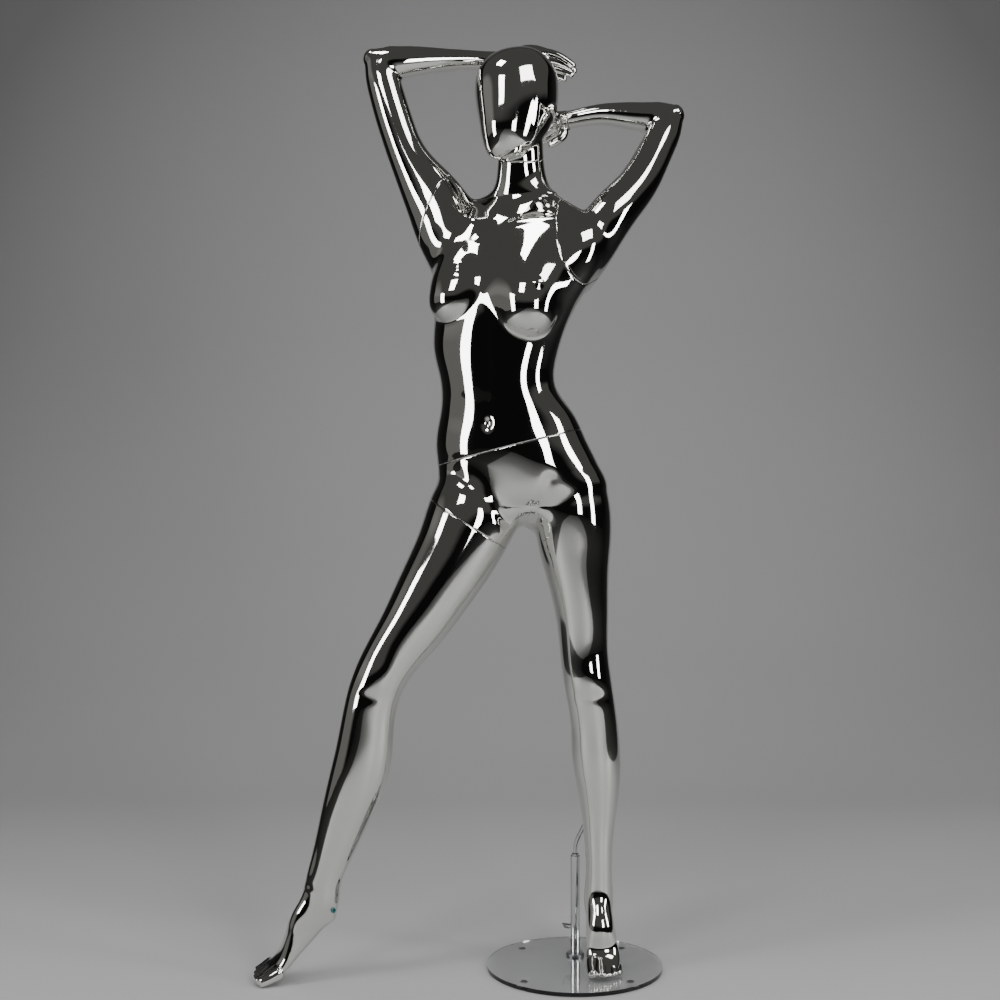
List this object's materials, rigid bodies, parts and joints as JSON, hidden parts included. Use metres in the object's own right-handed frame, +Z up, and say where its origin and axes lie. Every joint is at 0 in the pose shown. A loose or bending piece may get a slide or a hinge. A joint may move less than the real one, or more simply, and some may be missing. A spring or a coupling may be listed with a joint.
{
  "type": "full body mannequin",
  "caption": "Full body female display mannequin in mirror dark chrome, both hands behind the head, one leg stretched out, on a round glass base with a calf support rod.",
  "frame": {"origin": "on the floor under the centre of the round glass base", "axes": "+Z up, the figure faces -Y with its chest turned towards -X"},
  "size_m": [0.857, 0.35, 1.8826],
  "materials": {
    "dark_chrome": "fibreglass with mirror dark chrome plating",
    "green_edge_glass": "clear tempered float glass, green at the edge",
    "clear_bumper": "translucent soft bumper",
    "brushed_steel": "satin nickel plated steel",
    "zinc_steel": "zinc plated steel",
    "teal_bush": "moulded plastic bush"
  },
  "bodies": {
    "stand": {"base_glass": "green_edge_glass", "bumper_pad_1": "clear_bumper", "bumper_pad_2": "clear_bumper", "bumper_pad_3": "clear_bumper", "bumper_pad_4": "clear_bumper", "base_flange": "brushed_steel", "flange_bolt": "zinc_steel", "support_tube": "brushed_steel"},
    "screw": {"thumb_screw": "zinc_steel"},
    "rod": {"support_rod": "brushed_steel"},
    "hips": {"lower_body_shell": "dark_chrome", "calf_socket": "zinc_steel", "waist_plug": "zinc_steel", "thigh_plug": "zinc_steel"},
    "torso": {"torso_shell": "dark_chrome", "head_shell": "dark_chrome", "waist_socket": "zinc_steel", "left_shoulder_plug": "zinc_steel", "right_shoulder_plug": "zinc_steel"},
    "right_leg": {"right_leg_shell": "dark_chrome", "thigh_socket": "zinc_steel", "heel_socket": "teal_bush"},
    "left_arm": {"left_arm_shell": "dark_chrome", "left_shoulder_socket": "zinc_steel", "left_wrist_plug": "zinc_steel"},
    "right_arm": {"right_arm_shell": "dark_chrome", "right_shoulder_socket": "zinc_steel", "right_wrist_plug": "zinc_steel"},
    "left_hand_body": {"left_hand": "dark_chrome", "left_wrist_socket": "zinc_steel"},
    "right_hand_body": {"right_hand": "dark_chrome", "right_wrist_socket": "zinc_steel"}
  },
  "joints": [
    {"name": "thumb_screw_turn", "type": "hinge", "parent": "stand", "child": "screw", "pos_m": [0.004, 0.051, 0.066], "axis": [-0.8, 0.6, 0], "range_deg": [-360, 360]},
    {"name": "rod_height", "type": "slide", "parent": "stand", "child": "rod", "axis": [0, 0, 1], "range_m": [0, 0.06]},
    {"name": "figure_lift_off", "type": "slide", "parent": "rod", "child": "hips", "axis": [0.3905, -0.3017, 0.8697], "range_m": [0, 0.12]},
    {"name": "torso_lift_off", "type": "slide", "parent": "hips", "child": "torso", "axis": [-0.2449, 0, 0.9696], "range_m": [0, 0.1]},
    {"name": "right_leg_pull", "type": "slide", "parent": "hips", "child": "right_leg", "axis": [-0.5429, 0, -0.8398], "range_m": [0, 0.08]},
    {"name": "left_arm_pull", "type": "slide", "parent": "torso", "child": "left_arm", "axis": [0.7635, -0.56, 0.3217], "range_m": [0, 0.025]},
    {"name": "right_arm_pull", "type": "slide", "parent": "torso", "child": "right_arm", "axis": [-0.8515, 0.3807, 0.3606], "range_m": [0, 0.025]},
    {"name": "left_hand_pull", "type": "slide", "parent": "left_arm", "child": "left_hand_body", "axis": [-0.9745, 0.1899, -0.1199], "range_m": [0, 0.02]},
    {"name": "right_hand_pull", "type": "slide", "parent": "right_arm", "child": "right_hand_body", "axis": [0.9927, 0.1203, 0.01], "range_m": [0, 0.02]}
  ]
}
